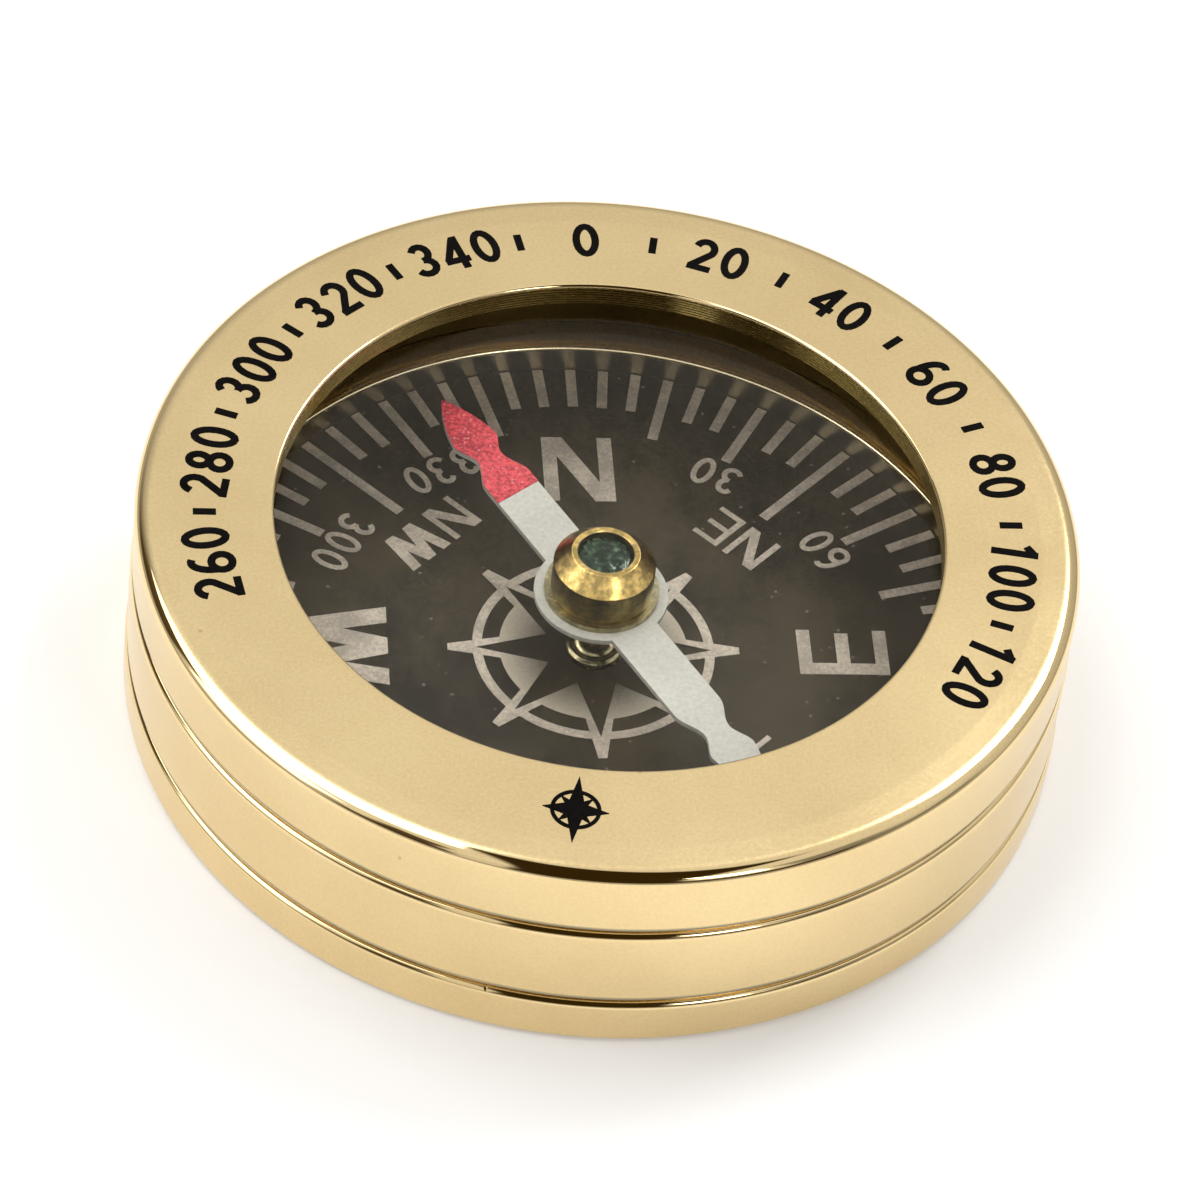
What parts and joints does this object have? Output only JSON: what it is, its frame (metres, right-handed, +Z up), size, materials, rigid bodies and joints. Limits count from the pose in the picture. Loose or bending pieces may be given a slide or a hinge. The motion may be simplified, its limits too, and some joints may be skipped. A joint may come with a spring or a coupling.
{
  "type": "pocket compass",
  "caption": "Round brass pocket compass in a three-band turned case, with a flat crystal over a printed compass-rose dial and a pivoted needle with a jewelled hub.",
  "frame": {"origin": "centre of the case's flat underside", "axes": "+Z up through the dial and crystal, +Y towards the dial's N, +X towards its E"},
  "size_m": [0.058, 0.058, 0.0144],
  "materials": {
    "case_brass": "polished, clear lacquer, faint turning lines",
    "ring_brass": "polished, bright turned edge",
    "hub_brass": "polished, gold tone",
    "post_brass": "turned, slightly dull",
    "crystal_glass": "clear flat mineral glass",
    "washer_rubber": "matte black",
    "packing_felt": "pressed felt",
    "dial_face": "dark brown-grey, satin",
    "dial_print": "dull silver ink",
    "dial_print_grey": "thin silver ink, darker",
    "needle_paint": "pale grey paint, satin",
    "needle_red": "red paint with fine grain",
    "pin_steel": "ground",
    "jewel_glass": "dark green glass stone",
    "black_marks": "black marking, satin"
  },
  "bodies": {
    "case": {"bezel_ring": "case_brass", "case_body": "case_brass", "base_cover": "case_brass", "crystal": "crystal_glass", "crystal_washer": "washer_rubber", "dial_plate": "dial_face", "dial_packing": "packing_felt", "dial_ring": "ring_brass", "dial_graduations": "dial_print", "dial_degrees": "dial_print", "dial_letters": "dial_print", "dial_rose": "dial_print", "dial_rose_fill": "dial_print_grey", "pivot_post": "post_brass", "pivot_pin": "pin_steel", "pivot_nut": "post_brass", "bezel_degrees": "black_marks", "bezel_star": "black_marks"},
    "needle": {"needle_blade": "needle_paint", "needle_red_coat": "needle_red", "hub_cap": "hub_brass", "hub_collar": "post_brass", "hub_rivet": "post_brass", "jewel": "jewel_glass"}
  },
  "joints": [
    {"name": "needle_spin", "type": "hinge", "parent": "case", "child": "needle", "pos_m": [0, 0, 0.0074], "axis": [0, 0, 1], "continuous": true}
  ]
}
